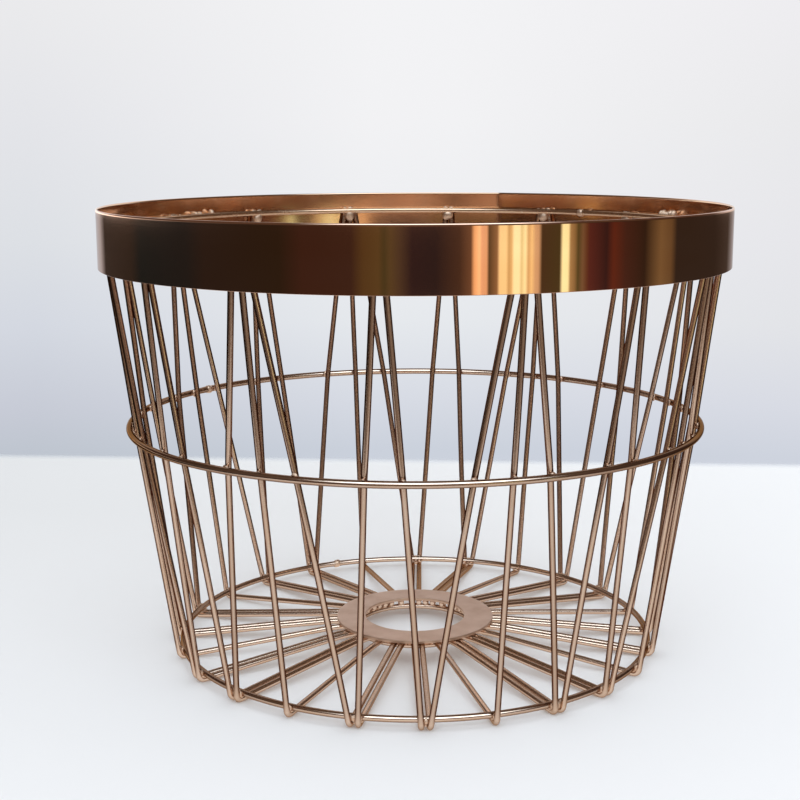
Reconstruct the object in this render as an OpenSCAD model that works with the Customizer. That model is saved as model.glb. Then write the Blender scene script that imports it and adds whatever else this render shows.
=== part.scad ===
// Wire produce basket: bent side wires stand between a flat rim band and a round hub plate.
// Four wire rings hold them. Every crossing is welded, so nothing moves.
// Millimetres, Z up. The origin is on the table under the centre, and the front faces -Y.
// Angles are counted round Z from the front, towards +X.

/* [Rim] */
// Outside diameter of the rim band
rim_d = 300; // [296:1:310]
// Height of the rim band
rim_h = 27.4; // [18:0.2:32]
// Thickness of the rim band's strip
rim_t = 1; // [0.8:0.1:1.5]
// Height of the basket, up to the top of the rim band
basket_h = 217; // [200:1:240]
// How far the top ring lies below the top of the rim band
top_ring_drop = 10; // [8:0.5:14]

/* [Wires] */
// Diameter of the side wires
wire_d = 2.8; // [2.4:0.1:2.9]
// Diameter of the top ring's and the bottom ring's wire
ring_d = 3; // [2.6:0.1:3.4]
// Diameter of the middle ring's wire
middle_ring_d = 3.2; // [2.8:0.1:3.6]
// Radius that a wire's foot is bent to, along its centreline
bend_r = 2.6; // [2:0.1:2.7]
// How far a wire's cut end stands above the centre of the top ring
wire_head = 0.6; // [0.2:0.1:1.4]

/* [Body] */
// Radius of the middle ring's centreline
middle_ring_r = 138.4; // [135:0.1:140]
// Height of the middle ring's centreline
middle_ring_z = 113; // [95:1:125]
// Radius at which a side wire turns in under the basket
foot_r = 118.8; // [114:0.1:122]

/* [Hub] */
// Outside diameter of the hub plate
hub_d = 78.6; // [74:0.2:84]
// Diameter of the hole in the hub plate
hub_bore_d = 50; // [49:0.5:52]
// Thickness of the hub plate
hub_t = 1.5; // [1:0.1:2]
// Height of the hub plate's top face
hub_top = 11.2; // [10.8:0.1:14]
// Radius of the hub ring's centreline
hub_ring_r = 29.4; // [29:0.1:34]
// Diameter of the hub ring's wire
hub_ring_d = 2.8; // [2.4:0.1:3]

/* [Spacing] */
// Angle from the front to the first straight wire
first_angle = 17.2; // [0:0.1:44]
// Distance between the centrelines of two wires that share a foot
pair_pitch = 3.8; // [3.5:0.1:3.8]
// How far the even spacing of the wires drifts round the basket, in degrees
spacing_drift = 1.25; // [0:0.05:1.4]
// Clearance that keeps welded pieces from overlapping
weld_gap = 0.08; // [0.07:0.01:0.1]

/* [Hidden] */

bays = 8;
bay_angle = 360 / bays;
wire_r = wire_d / 2;

// A ball joins a wire's straight lengths where it bends, and they stop just short of its centre.
ball_r = wire_r + 0.05;
bar_gap = 0.15;

rim_r = rim_d / 2;
rim_inner_r = rim_r - rim_t;
top_ring_z = basket_h - top_ring_drop;
middle_wire_r = middle_ring_r - (middle_ring_d + wire_d) / 2 - weld_gap;

// The side wires end between the rim band and the top ring, which stands inside them.
head_z = top_ring_z + wire_head;
head_r = rim_inner_r - weld_gap - wire_r;
head_pitch = wire_d + weld_gap;
top_lean = atan((head_r - middle_wire_r) / (head_z - middle_ring_z));
top_wire_r = head_r - wire_head * tan(top_lean);
top_ring_r = top_wire_r - ((ring_d + wire_d) / 2 + weld_gap) / cos(top_lean);

// The spokes rise from the feet to the knees and run level from there, under the hub plate.
spoke_end_r = hub_bore_d / 2 + 2;
knee_r = hub_d / 2 + 3;
spoke_hub_z = hub_top - hub_t - weld_gap - wire_r;
spoke_rise = atan((spoke_hub_z - wire_r) / (foot_r - knee_r));
side_lean = atan((middle_wire_r - foot_r) / (middle_ring_z - wire_r));

// A foot's bend is two corners, foot_cut away from where the side and the spoke would meet.
foot_turn = 90 + spoke_rise - side_lean;
foot_cut = bend_r * (tan(foot_turn / 2) - tan(foot_turn / 4));
foot_z = ball_r - foot_cut * sin(spoke_rise);

// The bottom ring lies in the angle of the feet, against the sides and on the spokes.
ring_seat = ((ring_d + wire_d) / 2 + weld_gap) / sin(foot_turn);
bottom_ring_r = foot_r + ring_seat * (sin(side_lean) - cos(spoke_rise));
bottom_ring_z = foot_z + ring_seat * (cos(side_lean) + sin(spoke_rise));
hub_ring_z = spoke_hub_z - (wire_d + hub_ring_d) / 2 - weld_gap;

// One bay's wires: name, head and foot in bays from the straight wire, and the places there.
// A head place is counted in head_pitch, and a foot place in halves of pair_pitch.
WIRES = [
    ["straight", 0, 0, 0, 0],
    ["raked_right", 0, 1, 1 / 3, -1],
    ["steep_left", 1 / 2, -1 / 2, 1 / 3, 1],
    ["steep_right", 1 / 2, 1 / 2, 2 / 3, -1],
    ["raked_left", 1, -1, 2 / 3, 1],
];
function wire_name(wire, bay) = str(wire[0], "_wire_", bay + 1);

COPPER = [0.76, 0.5, 0.38];
DARK_COPPER = [0.5, 0.32, 0.2];
PINK_COPPER = [0.84, 0.6, 0.5];

function unit(v) = v / norm(v);
function degrees(arc, r) = arc / r * 180 / PI;
function at(angle, r, z) = [r * sin(angle), -r * cos(angle), z];
function sideways(angle) = [cos(angle), sin(angle), 0];

// The wires stand a little closer together down the right side than down the left.
function node_angle(bay) =
    let (even = first_angle + bay * bay_angle)
    even - spacing_drift * (1 - cos(even));

// A round bar from a to b
module bar(a, b, d) {
    run = b - a;
    translate(a)
        rotate([0, acos(run.z / norm(run)), atan2(run.y, run.x)])
            cylinder(d = d, h = norm(run), $fn = 32);
}

// Turns a bend's ball so that its poles are square to the bend and its seam lies outside it.
function bend_frame(back, on) =
    let (
        out = -unit(back + on),
        pole = unit(cross(back, on)),
        side = cross(pole, out)
    )
    [for (i = [0 : 2]) [out[i], side[i], pole[i], 0]];

module bend_ball(before, corner, after) {
    translate(corner)
        multmatrix(bend_frame(unit(before - corner), unit(after - corner)))
            sphere(r = ball_r, $fn = 32);
}

// A wire through a row of corners
module bent_wire(corners) {
    last = len(corners) - 1;
    union() {
        for (i = [1 : last]) {
            way = unit(corners[i] - corners[i - 1]);
            start = corners[i - 1] + (i > 1 ? bar_gap : 0) * way;
            stop = corners[i] - (i < last ? bar_gap : 0) * way;
            bar(start, stop, wire_d);
        }
        for (i = [1 : last - 1]) bend_ball(corners[i - 1], corners[i], corners[i + 1]);
    }
}

// A side wire comes down the side, turns in under the bottom ring and runs to the hub as a spoke.
module side_wire(wire, bay) {
    foot_node = node_angle(bay + wire[3]);
    foot_shift = wire[4] * pair_pitch / 2;
    foot_side = foot_shift * sideways(foot_node);
    foot_angle = foot_node + degrees(foot_shift, foot_r);
    head_angle = node_angle(bay + wire[1]) + degrees(wire[2] * head_pitch, head_r);
    middle_share = (head_z - middle_ring_z) / (head_z - foot_z);
    middle_angle = head_angle + middle_share * (foot_angle - head_angle);

    head = at(head_angle, head_r, head_z);
    middle = at(middle_angle, middle_wire_r, middle_ring_z);
    foot = at(foot_node, foot_r, foot_z) + foot_side;
    knee = at(foot_node, knee_r, spoke_hub_z) + foot_side;
    end = at(foot_node, spoke_end_r, spoke_hub_z) + foot_side;
    down = unit(foot - middle);
    along = unit(knee - foot);

    color(COPPER)
        bent_wire([head, middle, foot - foot_cut * down, foot + foot_cut * along, knee, end]);
}

module wire_ring(r, z, d) {
    translate([0, 0, z])
        rotate_extrude($fn = 180)
            translate([r, 0])
                circle(d = d, $fn = 32);
}

module rim_band() {
    color(DARK_COPPER)
        translate([0, 0, basket_h - rim_h])
            rotate_extrude($fn = 180)
                translate([rim_inner_r, 0])
                    square([rim_t, rim_h]);
}

module top_ring() {
    color(COPPER) wire_ring(top_ring_r, top_ring_z, ring_d);
}

module middle_ring() {
    color(COPPER) wire_ring(middle_ring_r, middle_ring_z, middle_ring_d);
}

module bottom_ring() {
    color(COPPER) wire_ring(bottom_ring_r, bottom_ring_z, ring_d);
}

module hub_ring() {
    color(COPPER) wire_ring(hub_ring_r, hub_ring_z, hub_ring_d);
}

module hub_plate() {
    color(PINK_COPPER)
        translate([0, 0, hub_top - hub_t])
            difference() {
                cylinder(d = hub_d, h = hub_t, $fn = 120);
                translate([0, 0, -1]) cylinder(d = hub_bore_d, h = hub_t + 2, $fn = 120);
            }
}

rim_band();
top_ring();
middle_ring();
bottom_ring();
hub_ring();
hub_plate();
for (bay = [0 : bays - 1])
    for (wire = WIRES)
        side_wire(wire, bay);
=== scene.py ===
"""The looks of a copper wire produce basket: a brushed rim band, four wire rings, a hub plate and
forty bent side wires, all welded together.

Metres, Z up, with the origin on the table under the basket's centre and the front towards -Y.
Angles are in degrees round Z, counted from the front towards +X.
"""
import math
import random

import bpy
from mathutils import Matrix, Vector, noise


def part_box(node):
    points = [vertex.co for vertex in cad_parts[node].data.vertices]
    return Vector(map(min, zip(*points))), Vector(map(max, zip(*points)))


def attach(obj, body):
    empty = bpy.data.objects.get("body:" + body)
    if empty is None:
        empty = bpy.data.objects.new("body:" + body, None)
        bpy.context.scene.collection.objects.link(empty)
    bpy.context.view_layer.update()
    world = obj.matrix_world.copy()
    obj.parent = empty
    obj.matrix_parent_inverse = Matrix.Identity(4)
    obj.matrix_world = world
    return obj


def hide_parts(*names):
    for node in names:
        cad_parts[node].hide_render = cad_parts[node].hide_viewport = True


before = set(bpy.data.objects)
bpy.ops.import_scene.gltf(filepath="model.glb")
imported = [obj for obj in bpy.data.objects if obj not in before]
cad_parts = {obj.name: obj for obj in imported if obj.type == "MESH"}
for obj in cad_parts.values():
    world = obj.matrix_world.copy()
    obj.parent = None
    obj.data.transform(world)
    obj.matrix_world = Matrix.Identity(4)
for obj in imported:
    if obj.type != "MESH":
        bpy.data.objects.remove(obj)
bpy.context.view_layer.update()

MM = 0.001

# ---------------------------------------------------------------- sizes

# The side wires, as the frame has them
WIRE_D = 2.8 * MM
WIRE_HEAD = 0.6 * MM
BEND_R = 2.6 * MM
FOOT_R = 118.8 * MM
PAIR_PITCH = 3.8 * MM
WELD_GAP = 0.08 * MM
RIM_T = 1.0 * MM
HUB_BORE_R = 25.0 * MM
BAYS = 8
FIRST_ANGLE = 17.2
SPACING_DRIFT = 1.25
WIRE_R = WIRE_D / 2

# Name, then the head's bay and place, and the foot's bay and place, as the frame has them. Bays
# count from the straight wire, a head's place is in head_pitch and a foot's in half PAIR_PITCH.
WIRES = [
    ("straight", 0, 0, 0, 0),
    ("raked_right", 0, 1, 1 / 3, -1),
    ("steep_left", 1 / 2, -1 / 2, 1 / 3, 1),
    ("steep_right", 1 / 2, 1 / 2, 2 / 3, -1),
    ("raked_left", 1, -1, 2 / 3, 1),
]

# Angles of the joints in the strip and in the rings, which are each one bent length
RIM_SEAM = 161
MIDDLE_RING_JOINT = 235
TOP_RING_JOINT = 140
BOTTOM_RING_JOINT = 203
HUB_RING_JOINT = 80


class Ring:
    """A wire ring's size and place, from its node's box."""

    def __init__(self, node):
        low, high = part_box(node)
        self.wire_r = (high.z - low.z) / 2
        self.r = high.x - self.wire_r
        self.z = (low.z + high.z) / 2


top_ring = Ring("top_ring")
middle_ring = Ring("middle_ring")
bottom_ring = Ring("bottom_ring")
hub_ring = Ring("hub_ring")

rim_low, rim_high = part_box("rim_band")
rim_r = rim_high.x
hub_low, hub_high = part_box("hub_plate")
hub_r = hub_high.x

head_z = top_ring.z + WIRE_HEAD
head_r = rim_r - RIM_T - WELD_GAP - WIRE_R
middle_wire_r = middle_ring.r - middle_ring.wire_r - WIRE_R - WELD_GAP
head_pitch = WIRE_D + WELD_GAP
spoke_end_r = HUB_BORE_R + 2 * MM
knee_r = hub_r + 3 * MM
spoke_hub_z = hub_low.z - WELD_GAP - WIRE_R

# The foot's bend rests on the table, and its two straight sides meet at foot_z.
spoke_rise = math.atan((spoke_hub_z - WIRE_R) / (FOOT_R - knee_r))
side_lean = math.atan((middle_wire_r - FOOT_R) / (middle_ring.z - WIRE_R))
foot_turn = math.pi / 2 + spoke_rise - side_lean
foot_tangent = BEND_R * math.tan(foot_turn / 2)
foot_z = WIRE_R + BEND_R * (1 - math.cos(spoke_rise)) - foot_tangent * math.sin(spoke_rise)


def at(angle, r, z):
    """The point at this angle, radius and height."""
    a = math.radians(angle)
    return Vector((r * math.sin(a), -r * math.cos(a), z))


def sideways(angle):
    """A unit step along the circle at this angle, towards larger angles."""
    a = math.radians(angle)
    return Vector((math.cos(a), math.sin(a), 0))


def node_angle(bay):
    """The angle of a node, counted in bays. The even spacing drifts a little round the basket."""
    even = FIRST_ANGLE + bay * 360 / BAYS
    return even - SPACING_DRIFT * (1 - math.cos(math.radians(even)))


def smooth(low, high, x):
    """0 up to low and 1 from high, with a smooth rise between."""
    t = min(max((x - low) / (high - low), 0), 1)
    return t * t * (3 - 2 * t)


def radial(point, r, z):
    """The point at radius r and height z that is on the same side of the basket."""
    out = Vector((point.x, point.y, 0)).normalized()
    return out * r + Vector((0, 0, z))


# ---------------------------------------------------------------- materials

COPPER = (0.93, 0.62, 0.49, 1)
WARM_COPPER = (0.88, 0.54, 0.38, 1)
DRAWN_COPPER = (0.91, 0.71, 0.58, 1)
DULL_COPPER = (0.86, 0.63, 0.47, 1)
PLATE_COPPER = (0.74, 0.53, 0.41, 1)
DULL_PLATE = (0.66, 0.45, 0.33, 1)
INNER_COPPER = (0.93, 0.65, 0.46, 1)
DULL_INNER_COPPER = (0.90, 0.60, 0.41, 1)
WELD_COPPER = (0.97, 0.75, 0.58, 1)
HEAT_BROWN = (0.42, 0.24, 0.15, 1)
OLD_COPPER = (0.86, 0.60, 0.44, 1)
# Painted shade: the dark brown that wires and rings turn where they are seen at a slant
EDGE_SHADE_COPPER = (0.13, 0.05, 0.022, 1)
EDGE_COPPER = (0.40, 0.27, 0.18, 1)

# Cells of noise in a metre along X, Y and Z
BRUSH_GRAIN = (14, 14, 5200)
BRUSH_SCRATCHES = (30, 30, 1500)
BAND_CLOUDS = (9, 9, 26)
INNER_GRAIN = (20, 20, 2600)
INNER_CLOUDS = (22, 22, 60)
WIRE_GRAIN = (1900, 1900, 1900)
WIRE_PATCHES = (75, 75, 40)
PLATE_GRAIN = (2600, 2600, 2600)
PLATE_CLOUDS = (110, 110, 110)
WELD_LUMPS = (900, 900, 900)

# Smoothest and roughest
BAND_ROUGHNESS = (0.028, 0.040)
INNER_ROUGHNESS = (0.12, 0.14)
PLATE_ROUGHNESS = (0.44, 0.52)
WELD_ROUGHNESS = (0.44, 0.58)
BURNT_ROUGHNESS = 0.16

QUARTER_TURN = 0.25


class Nodes:
    """The node tree of a material or a world."""

    def __init__(self, owner):
        self.owner = owner
        owner.use_nodes = True
        self.tree = owner.node_tree
        self.tree.nodes.clear()

    def add(self, kind, **settings):
        made = self.tree.nodes.new(kind)
        for key, value in settings.items():
            setattr(made, key, value)
        return made

    def link(self, source, target):
        self.tree.links.new(source, target)

    def noise(self, cells, detail=3.0, rough=0.55):
        """Noise on the object, with this many cells in a metre along each axis."""
        place = self.add("ShaderNodeTexCoord")
        mapping = self.add("ShaderNodeMapping")
        mapping.inputs["Scale"].default_value = cells
        self.link(place.outputs["Object"], mapping.inputs["Vector"])
        made = self.add("ShaderNodeTexNoise")
        made.inputs["Scale"].default_value = 1
        made.inputs["Detail"].default_value = detail
        made.inputs["Roughness"].default_value = rough
        self.link(mapping.outputs["Vector"], made.inputs["Vector"])
        return made.outputs["Fac"]

    def remap(self, value, low, high, to_low=0.0, to_high=1.0, kind="LINEAR"):
        made = self.add("ShaderNodeMapRange", interpolation_type=kind)
        made.inputs["From Min"].default_value = low
        made.inputs["From Max"].default_value = high
        made.inputs["To Min"].default_value = to_low
        made.inputs["To Max"].default_value = to_high
        self.link(value, made.inputs["Value"])
        return made.outputs["Result"]

    def maths(self, operation, a, b):
        made = self.add("ShaderNodeMath", operation=operation)
        for socket, value in zip(made.inputs, (a, b)):
            if isinstance(value, (int, float)):
                socket.default_value = value
            else:
                self.link(value, socket)
        return made.outputs["Value"]

    def mix(self, share, a, b):
        made = self.add("ShaderNodeMix", data_type="RGBA")
        self.link(share, made.inputs["Factor"])
        for socket, value in ((made.inputs[6], a), (made.inputs[7], b)):
            if isinstance(value, tuple):
                socket.default_value = value
            else:
                self.link(value, socket)
        return made.outputs[2]

    def ramp(self, value, stops):
        """A colour that changes evenly from stop to stop, each a place from 0 to 1 and a colour."""
        made = self.add("ShaderNodeValToRGB")
        elements = made.color_ramp.elements
        while len(elements) < len(stops):
            elements.new(1)
        for element, (place, _) in zip(elements, stops):
            element.position = place
        for element, (_, colour) in zip(elements, stops):
            element.color = (*colour, 1)
        self.link(value, made.inputs[0])
        return made.outputs["Color"]


class Metal(Nodes):
    """A material with one Principled metal shader."""

    def __init__(self, name):
        super().__init__(bpy.data.materials.new(name))
        self.shader = self.add("ShaderNodeBsdfPrincipled")
        self.shader.inputs["Metallic"].default_value = 1
        out = self.add("ShaderNodeOutputMaterial")
        self.link(self.shader.outputs["BSDF"], out.inputs["Surface"])

    def bump(self, height, strength, distance):
        made = self.add("ShaderNodeBump")
        made.inputs["Strength"].default_value = strength
        made.inputs["Distance"].default_value = distance
        self.link(height, made.inputs["Height"])
        self.link(made.outputs["Normal"], self.shader.inputs["Normal"])

    def brushed_round(self, anisotropy, turn):
        """Brushes the metal round Z with a turn of a quarter, or up and down with none."""
        self.shader.inputs["Anisotropic"].default_value = anisotropy
        self.shader.inputs["Anisotropic Rotation"].default_value = turn
        tangent = self.add("ShaderNodeTangent", direction_type="RADIAL", axis="Z")
        self.link(tangent.outputs["Tangent"], self.shader.inputs["Tangent"])

    def colour(self, value):
        self.link(value, self.shader.inputs["Base Color"])

    def lacquered(self, value):
        """The colour with painted shade, deeper where it is seen at a slant, for the dark sides of
        wires and rings.

        A mesh attribute on each point says how much painted shade there is.
        """
        self.shader.inputs["Specular Tint"].default_value = EDGE_COPPER
        slant = self.add("ShaderNodeLayerWeight")
        slant.inputs["Blend"].default_value = 0.5
        edge_shade_amount = self.add("ShaderNodeAttribute", attribute_name="lacquer")
        share = self.remap(slant.outputs["Facing"], 0.05, 0.40)
        share = self.maths("MULTIPLY", share, edge_shade_amount.outputs["Fac"])
        return self.mix(share, value, EDGE_SHADE_COPPER)

    def roughness(self, value):
        self.link(value, self.shader.inputs["Roughness"])


def band_material():
    """Strip brushed along its length, so reflections smear up and down and stay sharp sideways."""
    made = Metal("brushed_rim_copper")
    made.brushed_round(1.0, QUARTER_TURN)
    grain = made.noise(BRUSH_GRAIN, detail=2)
    scratches = made.noise(BRUSH_SCRATCHES, detail=4, rough=0.7)
    clouds = made.noise(BAND_CLOUDS)
    made.colour(made.mix(made.remap(clouds, 0.35, 0.7), COPPER, WARM_COPPER))
    rough = made.remap(grain, 0.25, 0.75, *BAND_ROUGHNESS)
    made.roughness(made.maths("ADD", rough, made.remap(clouds, 0.3, 0.8, -0.002, 0.006)))
    made.bump(scratches, 0.02, 0.02 * MM)
    return made.owner


def inner_band_material():
    """The strip's inner face, which mirrors its own far side in a smooth sweep of colour."""
    made = Metal("inner_rim_copper")
    made.brushed_round(0.6, 0)
    grain = made.noise(INNER_GRAIN)
    clouds = made.noise(INNER_CLOUDS, detail=4)
    made.colour(made.mix(made.remap(clouds, 0.3, 0.75), INNER_COPPER, DULL_INNER_COPPER))
    made.roughness(made.remap(grain, 0.25, 0.75, *INNER_ROUGHNESS))
    return made.owner


def wire_material(name, base, aged, smoothest):
    """Drawn, copper-plated wire with painted shade on its slanted sides, and heat marks where it is
    welded.
    """
    made = Metal(name)
    heat = made.add("ShaderNodeAttribute", attribute_name="heat")
    grain = made.noise(WIRE_GRAIN)
    patches = made.noise(WIRE_PATCHES, detail=4)
    plated = made.mix(made.remap(patches, 0.42, 0.8), base, aged)
    burn = made.maths("MULTIPLY", heat.outputs["Fac"], made.remap(grain, 0.2, 0.7, 0.25, 1.0))
    made.colour(made.lacquered(made.mix(burn, plated, HEAT_BROWN)))
    rough = made.remap(patches, 0.3, 0.7, smoothest, smoothest + 0.07)
    rough = made.maths("ADD", rough, made.remap(grain, 0.2, 0.8, -0.03, 0.04))
    made.roughness(made.maths("ADD", rough, made.maths("MULTIPLY", burn, BURNT_ROUGHNESS)))
    made.bump(grain, 0.12, 0.02 * MM)
    return made.owner


def plate_material():
    """Blanked sheet with a matt plated face."""
    made = Metal("matt_hub_copper")
    grain = made.noise(PLATE_GRAIN)
    clouds = made.noise(PLATE_CLOUDS, detail=5)
    made.colour(made.mix(made.remap(clouds, 0.35, 0.75), PLATE_COPPER, DULL_PLATE))
    rough = made.remap(clouds, 0.3, 0.7, *PLATE_ROUGHNESS)
    made.roughness(made.maths("ADD", rough, made.remap(grain, 0.2, 0.8, -0.03, 0.03)))
    made.bump(grain, 0.15, 0.02 * MM)
    return made.owner


def weld_material():
    """Weld metal, rough and browned under its plating."""
    made = Metal("weld_copper")
    lumps = made.noise(WELD_LUMPS, detail=4)
    made.colour(made.mix(made.remap(lumps, 0.35, 0.7), OLD_COPPER, WELD_COPPER))
    made.roughness(made.remap(lumps, 0.3, 0.7, *WELD_ROUGHNESS))
    made.bump(lumps, 0.3, 0.08 * MM)
    return made.owner


# ---------------------------------------------------------------- mesh tools


def new_piece(name, points, faces, material, **marks):
    """A smooth-shaded mesh object. marks are named lists with a number for each point."""
    mesh = bpy.data.meshes.new(name)
    mesh.from_pydata([tuple(p) for p in points], [], faces)
    mesh.polygons.foreach_set("use_smooth", [True] * len(mesh.polygons))
    for mark, values in marks.items():
        attribute = mesh.attributes.new(mark, "FLOAT", "POINT")
        attribute.data.foreach_set("value", values)
    mesh.materials.append(material)
    mesh.update()
    piece = bpy.data.objects.new(name, mesh)
    bpy.context.scene.collection.objects.link(piece)
    return piece


def hand_over(piece, slot, *nodes):
    """Rides the piece on the frame and hides the nodes it stands for."""
    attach(piece, "root")
    if nodes:
        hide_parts(*nodes)


def rounded_path(corners, radii, step):
    """Points from the first corner to the last, with an arc of the given radius at each between."""
    path = [corners[0]]
    for before, corner, after, radius in zip(corners, corners[1:], corners[2:], radii):
        come = (corner - before).normalized()
        go = (after - corner).normalized()
        turn = come.angle(go)
        reach = radius * math.tan(turn / 2)
        start = corner - come * reach
        path += straight_points(path[-1], start, step)
        centre = start + (go - come * come.dot(go)).normalized() * radius
        axis = come.cross(go).normalized()
        count = max(4, math.ceil(math.degrees(turn) / 7))
        for i in range(count + 1):
            spin = Matrix.Rotation(turn * i / count, 3, axis)
            path.append(centre + spin @ (start - centre))
    return path + straight_points(path[-1], corners[-1], step) + [corners[-1]]


def straight_points(a, b, step):
    """The points between a and b, without the two ends."""
    count = max(1, math.ceil((b - a).length / step))
    return [a.lerp(b, i / count) for i in range(1, count)]


def directions(path, closed):
    """The way the path runs at each of its points."""
    count = len(path)
    ways = []
    for i in range(count):
        ahead = path[(i + 1) % count] if closed or i + 1 < count else path[i]
        behind = path[i - 1] if closed or i else path[i]
        ways.append((ahead - behind).normalized())
    return ways


def sweep(path, radii, sides, closed=False):
    """A tube along the path. The flat ends of an open one meet in a point in their middle."""
    count = len(path)
    ways = directions(path, closed)
    side = ways[0].orthogonal().normalized()
    points = []
    for place, way, radius in zip(path, ways, radii):
        side = (side - way * side.dot(way)).normalized()
        other = way.cross(side)
        for k in range(sides):
            a = 2 * math.pi * k / sides
            points.append(place + (side * math.cos(a) + other * math.sin(a)) * radius)
    faces = []
    for i in range(count if closed else count - 1):
        here, there = i * sides, (i + 1) % count * sides
        for k in range(sides):
            n = (k + 1) % sides
            faces.append((here + k, here + n, there + n, there + k))
    if not closed:
        points += [path[0], path[-1]]
        first, last = len(points) - 2, (count - 1) * sides
        for k in range(sides):
            n = (k + 1) % sides
            faces.append((first, n, k))
            faces.append((first + 1, last + k, last + n))
    return points, faces


def lathe(outline, angles, shift=None):
    """Turns a closed outline of (r, z) points round Z. shift(angle) moves it outwards."""
    points = []
    for angle in angles:
        out = shift(angle) if shift else 0
        points += [at(angle, r + out, z) for r, z in outline]
    count = len(outline)
    faces = []
    for i in range(len(angles)):
        here, there = i * count, (i + 1) % len(angles) * count
        for k in range(count):
            n = (k + 1) % count
            faces.append((here + k, there + k, there + n, here + n))
    return points, faces


EDGE_STEPS = 5


def rounded_box(r0, r1, z0, z1, deep, low, high):
    """The outline of a flat section with rounded edges, and a point beside each to keep faces flat.

    The edges are deep across the section, and low and high tall at its bottom and its top.
    """
    outline = []
    beside = min(low, high) * 0.5
    corners = [(r1, z0, -90), (r1, z1, 0), (r0, z1, 90), (r0, z0, 180)]
    for r, z, turn in corners:
        out_r = 1 if r == r1 else -1
        out_z = 1 if z == z1 else -1
        tall = high if z == z1 else low
        wide = min(deep, tall)
        centre = Vector((r - out_r * wide, z - out_z * tall))
        arc = []
        for i in range(EDGE_STEPS + 1):
            a = math.radians(turn + 90 * i / EDGE_STEPS)
            arc.append(centre + Vector((math.cos(a) * wide, math.sin(a) * tall)))
        a = math.radians(turn)
        come = Vector((math.sin(a), -math.cos(a)))
        go = Vector((-math.cos(a), -math.sin(a)))
        outline += [arc[0] + come * beside, *arc, arc[-1] + go * beside]
    return outline


def joined(parts):
    """Several (points, faces) in one."""
    points, faces = [], []
    for more_points, more_faces in parts:
        base = len(points)
        points += more_points
        faces += [tuple(base + i for i in face) for face in more_faces]
    return points, faces


# ---------------------------------------------------------------- side wires


def wire_corners(wire, bay):
    """A side wire's corners: head, middle, foot, knee and the end under the hub plate."""
    _, head_bay, head_place, foot_bay, foot_place = wire
    foot_node = node_angle(bay + foot_bay)
    shift = foot_place * PAIR_PITCH / 2
    foot_angle = foot_node + math.degrees(shift / FOOT_R)
    head_angle = node_angle(bay + head_bay) + math.degrees(head_place * head_pitch / head_r)
    share = (head_z - middle_ring.z) / (head_z - foot_z)
    middle_angle = head_angle + share * (foot_angle - head_angle)
    across = shift * sideways(foot_node)
    return [
        at(head_angle, head_r, head_z),
        at(middle_angle, middle_wire_r, middle_ring.z),
        at(foot_node, FOOT_R, foot_z) + across,
        at(foot_node, knee_r, spoke_hub_z) + across,
        at(foot_node, spoke_end_r, spoke_hub_z) + across,
    ]


def every_wire():
    """Each side wire's node and corners."""
    for bay in range(BAYS):
        for wire in WIRES:
            yield f"{wire[0]}_wire_{bay + 1}", wire_corners(wire, bay)


def foot_pairs():
    """The corners of the two wires that share each foot."""
    feet = []
    for _, corners in every_wire():
        shared = [foot for foot in feet if (foot[0][2] - corners[2]).length < 1.5 * PAIR_PITCH]
        if shared:
            shared[0].append(corners)
        else:
            feet.append([corners])
    return [tuple(foot) for foot in feet if len(foot) == 2]


MIDDLE_BEND_R = 260 * MM
KNEE_BEND_R = 60 * MM
PATH_STEP = 6 * MM
WIRE_SIDES = 16
BOW = 0.3 * MM
# Distance from a cut end, and the share of the wire's radius that it has there
CUT_RIM = [(0.0, 0.6), (0.12 * MM, 0.82), (0.35 * MM, 0.95), (0.7 * MM, 1.0)]
HEAT_CORE = 1.125 * MM
HEAT_REACH = 4.5 * MM
# The sides' painted edge shade is 1. It thins towards the spokes between these heights.
SPOKE_EDGE_SHADE = 0.35
THIN_BELOW = 3 * MM
FULL_ABOVE = 9 * MM
# How much painted edge shade the rings have, the top ring least
RING_EDGE_SHADE = 0.6
TOP_RING_EDGE_SHADE = 0.2


def bowed(path, corners, seed):
    """Bends each free length a little to one side, and leaves its two welded ends in place."""
    rng = random.Random(seed)
    head, middle, foot, knee, _ = corners
    lengths = [(middle.z, head.z), (foot.z + 3 * MM, middle.z)]
    pushes = [rng.uniform(-BOW, BOW) for _ in range(4)]
    out = Vector((foot.x, foot.y, 0)).normalized()
    across = Vector((-out.y, out.x, 0))
    moved = []
    for p in path:
        aside = 0
        outward = 0
        for i, (low, high) in enumerate(lengths):
            if low < p.z < high:
                share = math.sin(math.pi * (p.z - low) / (high - low))
                aside += pushes[2 * i] * share
                outward += pushes[2 * i + 1] * share
        moved.append(p + across * aside + out * outward * 0.5)
    return moved


def cut_ends(path, radius):
    """The path with the rounded rim of a cut end at both its ends, and every point's radius."""
    start = [(path[0].lerp(path[1], d / (path[1] - path[0]).length), s) for d, s in CUT_RIM]
    stop = [(path[-1].lerp(path[-2], d / (path[-2] - path[-1]).length), s) for d, s in CUT_RIM]
    places = start + [(p, 1.0) for p in path[1:-1]] + stop[::-1]
    return [p for p, _ in places], [radius * s for _, s in places]


def heat_of(points, welds):
    """How much each point is browned by the nearest weld, from 0 to 1."""
    nearest = [min((point - weld).length for weld in welds) for point in points]
    return [1 - smooth(HEAT_CORE, HEAT_REACH, away) for away in nearest]


def wire_welds(corners):
    """The centres of a side wire where it is welded."""
    head, middle, foot, knee, end = corners
    down = (middle - head).normalized()
    inward = (knee - foot).normalized()
    top = head + down * (WIRE_HEAD / -down.z)
    seat = foot + (middle - foot).normalized() * (bottom_ring.z - foot.z)
    spoke = foot + inward * ((foot.xy.length - bottom_ring.r) / inward.xy.length)
    hub = end.lerp(knee, (hub_ring.r - spoke_end_r) / (knee_r - spoke_end_r))
    return top, middle, seat, spoke, hub


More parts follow.
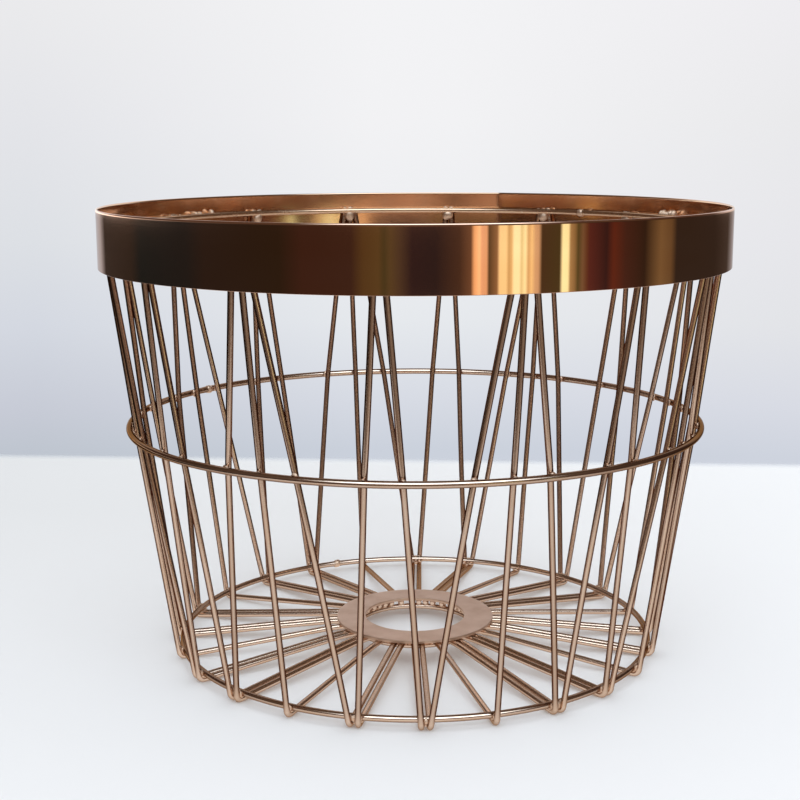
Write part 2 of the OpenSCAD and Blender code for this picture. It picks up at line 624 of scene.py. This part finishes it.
def side_lacquer(point):
    """How much painted edge shade a side wire has at the point, from the spoke's amount on its
    spoke to 1.
    """
    height = point.z if point.xy.length > FOOT_R - 4 * MM else 0
    return SPOKE_EDGE_SHADE + (1 - SPOKE_EDGE_SHADE) * smooth(THIN_BELOW, FULL_ABOVE, height)


def side_wires(material):
    """The forty side wires, each one length from its head to its end under the hub plate."""
    for seed, (name, corners) in enumerate(every_wire()):
        path = rounded_path(corners, (MIDDLE_BEND_R, BEND_R, KNEE_BEND_R), PATH_STEP)
        path, radii = cut_ends(bowed(path, corners, seed), WIRE_R)
        points, faces = sweep(path, radii, WIRE_SIDES)
        heat = heat_of(points, wire_welds(corners))
        # How much painted edge shade each point of the wire has
        edge_shade_amount = [side_lacquer(point) for point in points]
        piece = new_piece(name + "_drawn", points, faces, material, heat=heat, lacquer=edge_shade_amount)
        hand_over(piece, "wire_copper", name)


# ---------------------------------------------------------------- rings

RING_STEPS = 288
RING_SIDES = 20
JOINT_HALF_ANGLE = 2.5
JOINT_SWELL = 0.1


def wire_ring(node, ring, joint, material, welds, lacquer=RING_EDGE_SHADE):
    """A bent wire ring, a little swollen where its two ends are butt welded."""
    path = []
    radii = []
    for i in range(RING_STEPS):
        angle = joint + 360 * i / RING_STEPS
        off = min(i, RING_STEPS - i) * 360 / RING_STEPS
        path.append(at(angle, ring.r, ring.z))
        radii.append(ring.wire_r * (1 + JOINT_SWELL * (1 - smooth(0, JOINT_HALF_ANGLE, off))))
    points, faces = sweep(path, radii, RING_SIDES, closed=True)
    heat = heat_of(points, welds + [at(joint, ring.r, ring.z)])
    edge_shade_amount = [lacquer] * len(points)
    piece = new_piece(node + "_bent", points, faces, material, heat=heat, lacquer=edge_shade_amount)
    hand_over(piece, "ring_copper", node)


def rings(material, top_ring_painted_reflection_material):
    """The four rings. The top one has a material of its own, whose warmer copper paints in the
    band's warm reflection, and it has the least painted edge shade.
    """
    welds = [wire_welds(corners) for _, corners in every_wire()]
    tops, middles, seats, spokes, hubs = (list(group) for group in zip(*welds))
    wire_ring("top_ring", top_ring, TOP_RING_JOINT, top_ring_painted_reflection_material, tops, TOP_RING_EDGE_SHADE)
    wire_ring("middle_ring", middle_ring, MIDDLE_RING_JOINT, material, middles)
    wire_ring("bottom_ring", bottom_ring, BOTTOM_RING_JOINT, material, seats + spokes)
    wire_ring("hub_ring", hub_ring, HUB_RING_JOINT, material, hubs)


# ---------------------------------------------------------------- rim band and hub plate

BAND_STEPS = 540
BAND_EDGE = 0.44 * MM
BAND_LOW_EDGE = 0.15 * MM
BAND_TOP_EDGE = 0.9 * MM
SEAM_FLAT = 10
SEAM_GROOVE = 0.12 * MM
SEAM_GROOVE_REACH = 0.4
FACES_INWARDS = -0.7


def seam_shift(angle):
    """The strip's last stretch is straight at both ends, with a groove where they are welded."""
    off = abs((angle - RIM_SEAM + 180) % 360 - 180)
    straight = math.radians(max(SEAM_FLAT - off, 0))
    groove = SEAM_GROOVE * math.exp(-((off / SEAM_GROOVE_REACH) ** 2))
    return rim_r * (1 / math.cos(straight) - 1) - groove


def band_angles():
    """Even steps from the seam, with finer ones beside it."""
    even = [360 * i / BAND_STEPS for i in range(BAND_STEPS)]
    fine = [SEAM_GROOVE_REACH * i / 2 for i in range(1, 5)]
    return sorted(even + fine + [360 - step for step in fine])


def rim_band(outer, inner):
    """The rim band, with one material outside and on its edges, and another on its inner face."""
    outline = rounded_box(
        rim_r - RIM_T, rim_r, rim_low.z, rim_high.z, BAND_EDGE, BAND_LOW_EDGE, BAND_TOP_EDGE
    )
    angles = [RIM_SEAM + step for step in band_angles()]
    points, faces = lathe(outline, angles, seam_shift)
    piece = new_piece("rim_band_brushed", points, faces, outer)
    piece.data.materials.append(inner)
    for face in piece.data.polygons:
        out = Vector((face.center.x, face.center.y, 0)).normalized()
        if face.normal.dot(out) < FACES_INWARDS:
            face.material_index = 1
    hand_over(piece, "rim_copper", "rim_band")


PLATE_STEPS = 240
PLATE_EDGE = 0.3 * MM


def hub_plate(material):
    """The round plate with a round hole, whose edges are a little rounded."""
    outline = rounded_box(
        HUB_BORE_R, hub_r, hub_low.z, hub_high.z, PLATE_EDGE, PLATE_EDGE, PLATE_EDGE
    )
    points, faces = lathe(outline, [360 * i / PLATE_STEPS for i in range(PLATE_STEPS)])
    piece = new_piece("hub_plate_blanked", points, faces, material)
    hand_over(piece, "hub_copper", "hub_plate")


# ---------------------------------------------------------------- welds

# Sizes of beads are half-lengths. The first four pairs are widths and heights along the wires,
# and a size is drawn at random between the two of any other pair.
BEAD_ROWS = 7
BEAD_SIDES = 12
BEAD_LUMPS = 0.28
BEAD_LUMP_DETAIL = 1.4
TOP_BEAD = (1.75 * MM, 1.9 * MM)
MIDDLE_BEAD = (1.75 * MM, 1.95 * MM)
BOTTOM_BEAD = (1.7 * MM, 1.6 * MM)
HUB_BEAD = (1.6 * MM, 1.6 * MM)
# Z of the direction between two wires, beyond which they count as one above the other
FACES_UP = 0.7
WELD_DEEP = 0.9 * MM
WELD_SCALE = (0.85, 1.15)
WELD_OFF = 0.2 * MM
DROP_DRIFT = 0.35
DROP_DEEP = 2.3 * MM
DROP_WIDE = (2.6 * MM, 3.3 * MM)
DROP_TALL = (2.6 * MM, 3.2 * MM)
DROP_OUT = 0.6 * MM
DROP_FALL = 2.6 * MM
# Angle, half-length and height of each tack between the top ring and the band
TACKS = [
    (115, 5.1 * MM, 2.7 * MM),
    (229.5, 0, 2.0 * MM),
    (233.5, 1.7 * MM, 1.4 * MM),
    (354, 5.1 * MM, 2.4 * MM),
]
TACK_PITCH = 1.7 * MM
TACK_OFF = 0.3 * MM
TACK_RISE = 0.7
TACK_DEEP = 2.3 * MM
TACK_WIDE = (1.0 * MM, 1.5 * MM)
TACK_UNEVEN = (0.75, 1.15)
BUTT_UPSET = 0.6 * MM
BUTT_STRETCH = 1.3
BUTT_LUMPS = 7
BUTT_LUMP_OUT = 0.85
BUTT_LUMP_TURN = 0.25
BUTT_LUMP_DEEP = (0.5 * MM, 0.9 * MM)
BUTT_LUMP_LONG = (0.9 * MM, 1.5 * MM)
BUTT_LUMP_WIDE = 0.8 * MM
BUTT_LUMP_OFF = 0.5 * MM
BRIDGE_DEEP = 1.0 * MM
BRIDGE_WIDE = 1.5 * MM
BRIDGE_LONG = (1.3 * MM, 1.7 * MM)
BRIDGE_OUT = 0.9 * MM


def bead(centre, axes, rng):
    """A lumpy ball of weld metal. axes are its three half-lengths as vectors."""
    drift = Vector((rng.uniform(0, 50), rng.uniform(0, 50), rng.uniform(0, 50)))
    rows = [0.0] + [math.pi * i / BEAD_ROWS for i in range(1, BEAD_ROWS)] + [math.pi]
    points = []
    for i, tilt in enumerate(rows):
        for k in range(1 if i in (0, BEAD_ROWS) else BEAD_SIDES):
            a = 2 * math.pi * k / BEAD_SIDES
            d = Vector((math.sin(tilt) * math.cos(a), math.sin(tilt) * math.sin(a), math.cos(tilt)))
            size = 1 + BEAD_LUMPS * noise.noise(d * BEAD_LUMP_DETAIL + drift)
            points.append(centre + (axes[0] * d.x + axes[1] * d.y + axes[2] * d.z) * size)
    faces = []
    last = len(points) - 1
    for k in range(BEAD_SIDES):
        n = (k + 1) % BEAD_SIDES
        faces.append((0, 1 + k, 1 + n))
        faces.append((last, last - BEAD_SIDES + n, last - BEAD_SIDES + k))
        for row in range(BEAD_ROWS - 2):
            here = 1 + row * BEAD_SIDES
            there = here + BEAD_SIDES
            faces.append((here + k, there + k, there + n, here + n))
    return points, faces


def head_drop(angle, rng):
    """A drop of weld metal over the heads that share a place, which hangs under the top ring."""
    angle += rng.uniform(-DROP_DRIFT, DROP_DRIFT)
    out = at(angle, 1, 0)
    wide = sideways(angle) * rng.uniform(*DROP_WIDE)
    tall = Vector((0, 0, rng.uniform(*DROP_TALL)))
    centre = at(angle, top_ring.r + DROP_OUT, top_ring.z - DROP_FALL)
    return bead(centre, (out * DROP_DEEP, wide, tall), rng)


def rim_tack(angle, half_length, height, rng):
    """A short rough weld along the top of the top ring, which joins it to the band."""
    count = round(half_length / TACK_PITCH)
    beads = []
    for i in range(-count, count + 1):
        along = i * TACK_PITCH + rng.uniform(-TACK_OFF, TACK_OFF)
        turn = angle + math.degrees(along / top_ring.r)
        midway = (top_ring.r + rim_r - RIM_T) / 2
        centre = at(turn, midway, top_ring.z + top_ring.wire_r * TACK_RISE)
        tall = Vector((0, 0, rng.uniform(*TACK_UNEVEN) * height))
        wide = sideways(turn) * rng.uniform(*TACK_WIDE)
        beads.append(bead(centre, (at(turn, TACK_DEEP, 0), wide, tall), rng))
    return joined(beads)


def ring_butt(angle, ring, rng):
    """The rough upset collar where a ring's two ends are butt welded."""
    side = sideways(angle)
    out = at(angle, 1, 0)
    upset = ring.wire_r + BUTT_UPSET
    round_it = (out * upset, side * BUTT_STRETCH * upset, Vector((0, 0, upset)))
    beads = [bead(at(angle, ring.r, ring.z), round_it, rng)]
    for i in range(BUTT_LUMPS):
        turn = 2 * math.pi * i / BUTT_LUMPS + rng.uniform(-BUTT_LUMP_TURN, BUTT_LUMP_TURN)
        spoke = out * math.cos(turn) + Vector((0, 0, math.sin(turn)))
        centre = at(angle, ring.r, ring.z) + spoke * ring.wire_r * BUTT_LUMP_OUT
        centre += side * rng.uniform(-BUTT_LUMP_OFF, BUTT_LUMP_OFF)
        deep = spoke * rng.uniform(*BUTT_LUMP_DEEP)
        long = side * rng.uniform(*BUTT_LUMP_LONG)
        wide = side.cross(spoke) * BUTT_LUMP_WIDE
        beads.append(bead(centre, (deep, long, wide), rng))
    return joined(beads)


def foot_bridge(corners, other, rng):
    """A bead across the two wires that share a foot, at the bottom ring."""
    _, _, seat, spoke, _ = wire_welds(corners)
    _, _, seat_beside, spoke_beside, _ = wire_welds(other)
    beads = []
    for a, b in ((seat, seat_beside), (spoke, spoke_beside)):
        centre = a.lerp(b, 0.5)
        towards = (radial(centre, bottom_ring.r, bottom_ring.z) - centre).normalized()
        side = (b - a).normalized()
        long = side.cross(towards) * rng.uniform(*BRIDGE_LONG)
        centre += towards * BRIDGE_OUT
        beads.append(bead(centre, (towards * BRIDGE_DEEP, side * BRIDGE_WIDE, long), rng))
    return beads


def bead_between(a, b, size, rng):
    """A bead where two wires touch, with a and b the nearest points of their centrelines."""
    wide, tall = size
    across = (b - a).normalized()
    up = Vector((0, 0, 1))
    if abs(across.z) > FACES_UP:
        up = Vector((a.x, a.y, 0)).normalized()
    side = across.cross(up).normalized()
    up = side.cross(across)
    scale = rng.uniform(*WELD_SCALE)
    centre = a.lerp(b, 0.5) + side * rng.uniform(-WELD_OFF, WELD_OFF)
    return bead(centre, (across * WELD_DEEP, side * wide * scale, up * tall * scale), rng)


def welds(material):
    """A group of beads for each ring."""
    rng = random.Random(7)
    groups = {"top": [], "middle": [], "bottom": [], "hub": []}
    for _, corners in every_wire():
        top, middle, seat, spoke, hub = wire_welds(corners)
        on_top = radial(top, top_ring.r, top_ring.z)
        on_middle = radial(middle, middle_ring.r, middle_ring.z)
        on_bottom = radial(seat, bottom_ring.r, bottom_ring.z)
        on_hub = radial(hub, hub_ring.r, hub_ring.z)
        groups["top"].append(bead_between(top, on_top, TOP_BEAD, rng))
        groups["middle"].append(bead_between(middle, on_middle, MIDDLE_BEAD, rng))
        groups["bottom"].append(bead_between(seat, on_bottom, BOTTOM_BEAD, rng))
        groups["bottom"].append(bead_between(spoke, on_bottom, BOTTOM_BEAD, rng))
        groups["hub"].append(bead_between(hub, on_hub, HUB_BEAD, rng))
    for half_bay in range(2 * BAYS):
        groups["top"].append(head_drop(node_angle(half_bay / 2), rng))
    for angle, half_length, height in TACKS:
        groups["top"].append(rim_tack(angle, half_length, height, rng))
    groups["top"].append(ring_butt(TOP_RING_JOINT, top_ring, rng))
    groups["middle"].append(ring_butt(MIDDLE_RING_JOINT, middle_ring, rng))
    groups["bottom"].append(ring_butt(BOTTOM_RING_JOINT, bottom_ring, rng))
    groups["hub"].append(ring_butt(HUB_RING_JOINT, hub_ring, rng))
    for corners, other in foot_pairs():
        groups["bottom"] += foot_bridge(corners, other, rng)
    for name, beads in groups.items():
        points, faces = joined(beads)
        hand_over(new_piece(name + "_welds", points, faces, material), "ring_copper")


# ---------------------------------------------------------------- table and room

# The table's colours hold painted light and shade: darker on the left, paler on the right and near
# the front
TABLE_LEFT_SHADED = (0.72, 0.72, 0.715, 1)
TABLE_RIGHT_LIT = (0.87, 0.87, 0.87, 1)
TABLE_NEAR_LIT = (0.96, 0.96, 0.97, 1)
TABLE_SEEN_IN_METAL = (0.74, 0.70, 0.66, 1)
TABLE_NEAR_SHARE = 0.6
TABLE_ROUGHNESS = 0.6
TABLE_HALF_WIDTH = 0.36
TABLE_FRONT_Y = -0.33
TABLE_EDGE_Y = 0.39
TABLE_EDGE_SLOPE = -0.06
TABLE_EDGE_SOFT = 0.012
FLOOR_SIZE = 16
FLOOR_BEYOND = 0.6
EVEN_LIGHT = (0.92, 0.92, 0.94, 1)

# The wall that the camera sees, by the height of its line of sight: the Z of a unit direction.
# The places of its colours run from 0 at WALL_FROM to 1 at WALL_TO.
WALL_FROM = -0.24
WALL_TO = 0.10
WALL_SIDE = 0.26
WALL_MIDDLE = 0.03
WALL_LEFT = [
    (0.065, (0.508, 0.552, 0.617)),
    (0.165, (0.571, 0.597, 0.672)),
    (0.33, (0.658, 0.687, 0.753)),
    (0.50, (0.723, 0.745, 0.783)),
    (0.74, (0.776, 0.783, 0.815)),
    (0.96, (0.823, 0.823, 0.839)),
]
WALL_CENTRE = [
    (0.065, (0.597, 0.638, 0.716)),
    (0.165, (0.680, 0.708, 0.776)),
    (0.33, (0.791, 0.815, 0.847)),
    (0.50, (0.847, 0.855, 0.880)),
    (0.74, (0.888, 0.888, 0.905)),
    (0.96, (0.896, 0.896, 0.913)),
]
WALL_RIGHT = [
    (0.065, (0.617, 0.652, 0.730)),
    (0.165, (0.687, 0.708, 0.776)),
    (0.33, (0.767, 0.776, 0.807)),
    (0.50, (0.799, 0.799, 0.831)),
    (0.74, (0.823, 0.823, 0.839)),
    (0.96, (0.855, 0.847, 0.871)),
]

# The light that the room gives at the basket's own height, by the angle it comes from
LEFT_ROOM = [
    (-180, (0.80, 0.80, 0.83)),
    (-165, (0.55, 0.55, 0.58)),
    (-150, (0.42, 0.41, 0.42)),
    (-142, (0.045, 0.036, 0.030)),
    (-116, (0.032, 0.026, 0.020)),
    (-110, (0.014, 0.018, 0.018)),
    (-84, (0.017, 0.018, 0.018)),
    (-76, (0.026, 0.019, 0.015)),
    (-46, (0.027, 0.018, 0.010)),
    (-38, (0.048, 0.022, 0.014)),
    (-21, (0.050, 0.025, 0.016)),
    (-17, (0.095, 0.060, 0.021)),
    (-12, (0.108, 0.074, 0.025)),
    (-10, (0.070, 0.059, 0.021)),
    (-8, (0.105, 0.077, 0.031)),
    (-5, (0.080, 0.055, 0.032)),
    (-1, (0.032, 0.019, 0.020)),
    (0, (0.030, 0.018, 0.019)),
]
WINDOWS = [
    (0, (0.030, 0.018, 0.019)),
    (7, (0.027, 0.018, 0.019)),
    (15, (0.070, 0.040, 0.025)),
    (18.8, (0.17, 0.095, 0.05)),
    (19.9, (1.00, 0.62, 0.30)),
    (21.6, (1.30, 0.92, 0.50)),
    (22.4, (0.98, 0.62, 0.36)),
    (24.0, (0.92, 0.58, 0.32)),
    (24.8, (0.12, 0.08, 0.035)),
    (27.6, (0.32, 0.20, 0.09)),
    (28.5, (1.20, 1.05, 0.55)),
    (30.6, (1.20, 1.08, 0.56)),
    (31.6, (0.75, 0.58, 0.24)),
    (32.6, (0.95, 0.78, 0.35)),
    (33.4, (1.35, 1.40, 0.85)),
    (35.2, (1.30, 1.40, 0.86)),
    (36.0, (0.95, 0.95, 0.48)),
    (37.3, (1.30, 1.38, 0.80)),
    (38.4, (0.82, 0.62, 0.28)),
    (39.6, (1.12, 0.92, 0.44)),
    (40.8, (0.80, 0.60, 0.33)),
    (42.0, (0.72, 0.52, 0.30)),
    (43.2, (0.075, 0.048, 0.022)),
    (49.8, (0.075, 0.060, 0.022)),
    (50.9, (1.30, 1.45, 0.85)),
    (52.8, (1.25, 1.40, 0.80)),
    (53.7, (0.45, 0.34, 0.15)),
    (55.4, (0.30, 0.22, 0.09)),
    (56.6, (0.10, 0.09, 0.03)),
    (58.4, (0.20, 0.13, 0.065)),
    (60, (0.140, 0.060, 0.030)),
]
RIGHT_ROOM = [
    (60, (0.140, 0.060, 0.030)),
    (61, (0.105, 0.032, 0.025)),
    (68, (0.042, 0.018, 0.017)),
    (71, (0.120, 0.032, 0.017)),
    (76, (0.065, 0.027, 0.018)),
    (85, (0.036, 0.022, 0.013)),
    (93, (0.20, 0.14, 0.062)),
    (98.4, (0.15, 0.10, 0.045)),
    (101.5, (0.036, 0.027, 0.020)),
    (130, (0.036, 0.026, 0.019)),
    (146, (0.060, 0.045, 0.035)),
    (156, (0.30, 0.28, 0.28)),
    (166, (0.55, 0.55, 0.58)),
    (180, (0.80, 0.80, 0.83)),
]
# The light from below that height, past the table's edges
GROUND = [
    (-180, (0.66, 0.68, 0.72)),
    (-150, (0.62, 0.64, 0.68)),
    (-140, (0.035, 0.022, 0.014)),
    (-55, (0.035, 0.022, 0.014)),
    (-25, (0.085, 0.056, 0.038)),
    (5, (0.20, 0.15, 0.115)),
    (60, (0.22, 0.17, 0.135)),
    (100, (0.19, 0.145, 0.115)),
    (140, (0.12, 0.09, 0.07)),
    (150, (0.62, 0.64, 0.68)),
    (180, (0.66, 0.68, 0.72)),
]
# The light just under eye level, which the band's inner face mirrors and its outer face hardly does
EYE_LEVEL = [
    (-180, (0.90, 0.84, 0.78)),
    (-167, (1.00, 0.94, 0.88)),
    (-150, (1.60, 1.52, 1.42)),
    (-129, (1.80, 1.72, 1.62)),
    (-110, (0.80, 0.76, 0.72)),
    (-88, (0.20, 0.18, 0.16)),
    (-56, (0.05, 0.032, 0.022)),
    (-30, (0.09, 0.06, 0.042)),
    (-12, (0.32, 0.20, 0.13)),
    (0, (0.36, 0.23, 0.15)),
    (25, (0.24, 0.15, 0.10)),
    (46, (0.14, 0.09, 0.06)),
    (60, (0.03, 0.018, 0.013)),
    (110, (0.03, 0.018, 0.013)),
    (128, (0.10, 0.08, 0.07)),
    (148, (0.72, 0.62, 0.55)),
    (169, (0.86, 0.80, 0.74)),
    (180, (0.90, 0.84, 0.78)),
]
EYE_LEVEL_FROM = -0.052
EYE_LEVEL_FULL = -0.047
GROUND_FROM = -0.11
GROUND_FULL = -0.19
# The dim room over the windows, and the pale wall behind the basket, which is higher
UPPER_ROOM = (0.095, 0.060, 0.042, 1)
UPPER_WALL = (0.80, 0.80, 0.83, 1)
UPPER_FROM = 0.03
UPPER_FULL = 0.09
BEHIND_FROM = 128
BEHIND_FULL = 146
WALL_TOP_FROM = 0.66
WALL_TOP_FULL = 0.80
CEILING = (0.10, 0.070, 0.048, 1)
CEILING_FROM = 0.42
CEILING_FULL = 0.62
LAMP = (2.6, 3.0, 3.3, 1)
LAMP_RISE = 0.72
LAMP_ANGLE = 8
LAMP_HALF_HEIGHT = 0.27
LAMP_HALF_WIDTH = 58
# The shares of those that are at full strength
LAMP_FULL_HEIGHT = 0.4
LAMP_FULL_WIDTH = 0.6


def wall_seen(world, way):
    """The pale wall behind the table, with painted shade that makes it a little darker at its sides
    and towards the table.
    """
    rise = world.remap(way.outputs["Z"], WALL_FROM, WALL_TO)
    left = world.ramp(rise, WALL_LEFT)
    right = world.ramp(rise, WALL_RIGHT)
    centre = world.ramp(rise, WALL_CENTRE)
    wall = world.mix(world.remap(way.outputs["X"], -WALL_SIDE, -WALL_MIDDLE), left, centre)
    return world.mix(world.remap(way.outputs["X"], WALL_MIDDLE, WALL_SIDE), wall, right)


def room_in_metal(world, way):
    """A dim room with tall windows and a lamp in front, and a pale wall behind."""
    forward = world.maths("MULTIPLY", way.outputs["Y"], -1)
    angle = world.maths("ARCTAN2", way.outputs["X"], forward)
    room = light_by_angle(world, angle, LEFT_ROOM)
    for part in (WINDOWS, RIGHT_ROOM):
        past = world.maths("GREATER_THAN", angle, math.radians(part[0][0]))
        room = world.mix(past, room, light_by_angle(world, angle, part))
    ground = light_by_angle(world, angle, GROUND)
    height = way.outputs["Z"]
    room = world.mix(world.remap(height, GROUND_FULL, GROUND_FROM), ground, room)
    eye_level = light_by_angle(world, angle, EYE_LEVEL)
    room = world.mix(world.remap(height, EYE_LEVEL_FROM, EYE_LEVEL_FULL), room, eye_level)
    aside = world.maths("ABSOLUTE", angle, 0)
    low, high = math.radians(BEHIND_FROM), math.radians(BEHIND_FULL)
    behind = world.remap(aside, low, high, kind="SMOOTHSTEP")
    upper = world.mix(behind, UPPER_ROOM, UPPER_WALL)
    room = world.mix(world.remap(height, UPPER_FROM, UPPER_FULL), room, upper)
    ceiling = world.remap(height, CEILING_FROM, CEILING_FULL, kind="SMOOTHSTEP")
    over_wall = world.remap(height, WALL_TOP_FROM, WALL_TOP_FULL, kind="SMOOTHSTEP")
    front = world.mix(ceiling, room, CEILING)
    room = world.mix(behind, front, world.mix(over_wall, room, CEILING))
    return world.mix(lamp_share(world, angle, height), room, LAMP)


def light_by_angle(world, angle, stops):
    """The light from each stop's angle, in degrees, blended evenly between them."""
    low, high = stops[0][0], stops[-1][0]
    share = world.remap(angle, math.radians(low), math.radians(high))
    return world.ramp(share, [((a - low) / (high - low), light) for a, light in stops])


def lamp_share(world, angle, height):
    """1 in the middle of the lamp and 0 outside it, with soft edges."""
    off = world.maths("ABSOLUTE", world.maths("SUBTRACT", height, LAMP_RISE), 0)
    tall = world.remap(off, LAMP_HALF_HEIGHT, LAMP_HALF_HEIGHT * LAMP_FULL_HEIGHT)
    aside = world.maths("ABSOLUTE", world.maths("SUBTRACT", angle, math.radians(LAMP_ANGLE)), 0)
    half = math.radians(LAMP_HALF_WIDTH)
    wide = world.remap(aside, half, half * LAMP_FULL_WIDTH, kind="SMOOTHSTEP")
    return world.maths("MULTIPLY", tall, wide)


def add_world():
    """The camera sees the wall, the metal mirrors the room, and the table is lit evenly."""
    world = Nodes(bpy.data.worlds.new("studio"))
    bpy.context.scene.world = world.owner
    place = world.add("ShaderNodeTexCoord")
    way = world.add("ShaderNodeSeparateXYZ")
    world.link(place.outputs["Generated"], way.inputs[0])
    seen = world.add("ShaderNodeLightPath")
    colour = world.mix(seen.outputs["Is Diffuse Ray"], room_in_metal(world, way), EVEN_LIGHT)
    colour = world.mix(seen.outputs["Is Camera Ray"], colour, wall_seen(world, way))
    background = world.add("ShaderNodeBackground")
    world.link(colour, background.inputs["Color"])
    out = world.add("ShaderNodeOutputWorld")
    world.link(background.outputs["Background"], out.inputs["Surface"])


def flat_sheet(name, low, high, material):
    """A level sheet from one corner to the other, which isn't part of the object."""
    (left, front), (right, back) = low, high
    points = [(left, front, 0), (right, front, 0), (right, back, 0), (left, back, 0)]
    mesh = bpy.data.meshes.new(name)
    mesh.from_pydata(points, [], [(0, 1, 2, 3)])
    mesh.materials.append(material)
    sheet = bpy.data.objects.new(name, mesh)
    bpy.context.scene.collection.objects.link(sheet)
    return sheet


def table_material():
    """A white table with painted light, darker on the left and paler on the right and near the
    front, which ends in a soft line in front of the wall.
    """
    made = Nodes(bpy.data.materials.new("white_table"))
    place = made.add("ShaderNodeTexCoord")
    split = made.add("ShaderNodeSeparateXYZ")
    made.link(place.outputs["Object"], split.inputs[0])
    table = made.add("ShaderNodeBsdfPrincipled")
    table.inputs["Roughness"].default_value = TABLE_ROUGHNESS
    table.inputs["Specular IOR Level"].default_value = 0.0
    across = made.remap(split.outputs["X"], -0.35, 0.3)
    nearer = made.remap(split.outputs["Y"], 0.25, -0.35, 0.0, TABLE_NEAR_SHARE)
    colour = made.mix(nearer, made.mix(across, TABLE_LEFT_SHADED, TABLE_RIGHT_LIT), TABLE_NEAR_LIT)
    made.link(colour, table.inputs["Base Color"])
    beyond = made.maths("MULTIPLY", split.outputs["X"], -TABLE_EDGE_SLOPE)
    beyond = made.maths("ADD", split.outputs["Y"], beyond)
    low, high = TABLE_EDGE_Y - TABLE_EDGE_SOFT, TABLE_EDGE_Y + TABLE_EDGE_SOFT
    edge = made.remap(beyond, low, high, kind="SMOOTHSTEP")
    clear = made.add("ShaderNodeBsdfTransparent")
    both = made.add("ShaderNodeMixShader")
    made.link(edge, both.inputs["Fac"])
    made.link(table.outputs["BSDF"], both.inputs[1])
    made.link(clear.outputs["BSDF"], both.inputs[2])
    out = made.add("ShaderNodeOutputMaterial")
    made.link(both.outputs["Shader"], out.inputs["Surface"])
    return made.owner


def reflected_table_material():
    """The lit table as the metal mirrors it: a sheet that glows with painted light and has none of
    the basket's shade.
    """
    made = Nodes(bpy.data.materials.new("reflected_table"))
    glow = made.add("ShaderNodeEmission")
    glow.inputs["Color"].default_value = TABLE_SEEN_IN_METAL
    out = made.add("ShaderNodeOutputMaterial")
    made.link(glow.outputs["Emission"], out.inputs["Surface"])
    return made.owner


def add_table():
    """The table that the camera sees, and another of a table's size that only the metal mirrors."""
    half = FLOOR_SIZE / 2
    back = TABLE_EDGE_Y + FLOOR_BEYOND
    floor = flat_sheet("floor", (-half, -half), (half, back), table_material())
    floor.visible_glossy = False
    low, high = (-TABLE_HALF_WIDTH, TABLE_FRONT_Y), (TABLE_HALF_WIDTH, TABLE_EDGE_Y)
    mirrored = flat_sheet("table_top", low, high, reflected_table_material())
    mirrored.visible_camera = False
    mirrored.visible_diffuse = False
    mirrored.visible_shadow = False


# ---------------------------------------------------------------- light and camera

OVERHEAD_PLACE = Vector((0.25, 0, 1.6))
OVERHEAD_SIZE = 1.8
OVERHEAD_POWER = 2.0

# In rim radii, radians and millimetres of focal length
CAMERA_PLACE = Vector((0, -4.5503, 1.6617))
CAMERA_PITCH = 0.185
CAMERA_YAW = -0.0105
CAMERA_ROLL = -0.0037
CAMERA_LENS = 63.39


def add_overhead():
    """A soft white light over the basket, which faces it and which the metal doesn't mirror."""
    data = bpy.data.lights.new("overhead", "AREA")
    data.shape = "DISK"
    data.size = OVERHEAD_SIZE
    data.energy = OVERHEAD_POWER
    light = bpy.data.objects.new("overhead", data)
    light.location = OVERHEAD_PLACE
    light.rotation_mode = "QUATERNION"
    light.rotation_quaternion = (-OVERHEAD_PLACE).to_track_quat("-Z", "Y")
    light.visible_camera = False
    light.visible_glossy = False
    bpy.context.scene.collection.objects.link(light)


def add_camera():
    """Just above the rim in front of the basket, looking a little down at it."""
    data = bpy.data.cameras.new("camera")
    data.lens = CAMERA_LENS
    data.sensor_width = 36
    camera = bpy.data.objects.new("camera", data)
    bpy.context.scene.collection.objects.link(camera)
    level = Vector((math.sin(CAMERA_YAW), math.cos(CAMERA_YAW), 0))
    forward = level * math.cos(CAMERA_PITCH) - Vector((0, 0, math.sin(CAMERA_PITCH)))
    right = Vector((level.y, -level.x, 0))
    up = right.cross(forward)
    spin = Matrix.Rotation(-CAMERA_ROLL, 3, forward)
    right, up = spin @ right, spin @ up
    turn = Matrix((right, up, -forward)).transposed()
    camera.matrix_world = Matrix.Translation(CAMERA_PLACE * rim_r) @ turn.to_4x4()
    bpy.context.scene.camera = camera


# ---------------------------------------------------------------- the whole scene

side_wires(wire_material("side_wire_copper", DRAWN_COPPER, DULL_COPPER, 0.17))
# The top ring's warmer copper is a painted reflection of the band's inner face
rings(
    wire_material("ring_wire_copper", DRAWN_COPPER, DULL_COPPER, 0.12),
    wire_material("top_ring_copper", INNER_COPPER, DULL_INNER_COPPER, 0.20),
)
rim_band(band_material(), inner_band_material())
hub_plate(plate_material())
welds(weld_material())

add_world()
add_table()
add_overhead()
add_camera()
bpy.context.scene.view_settings.view_transform = "Standard"
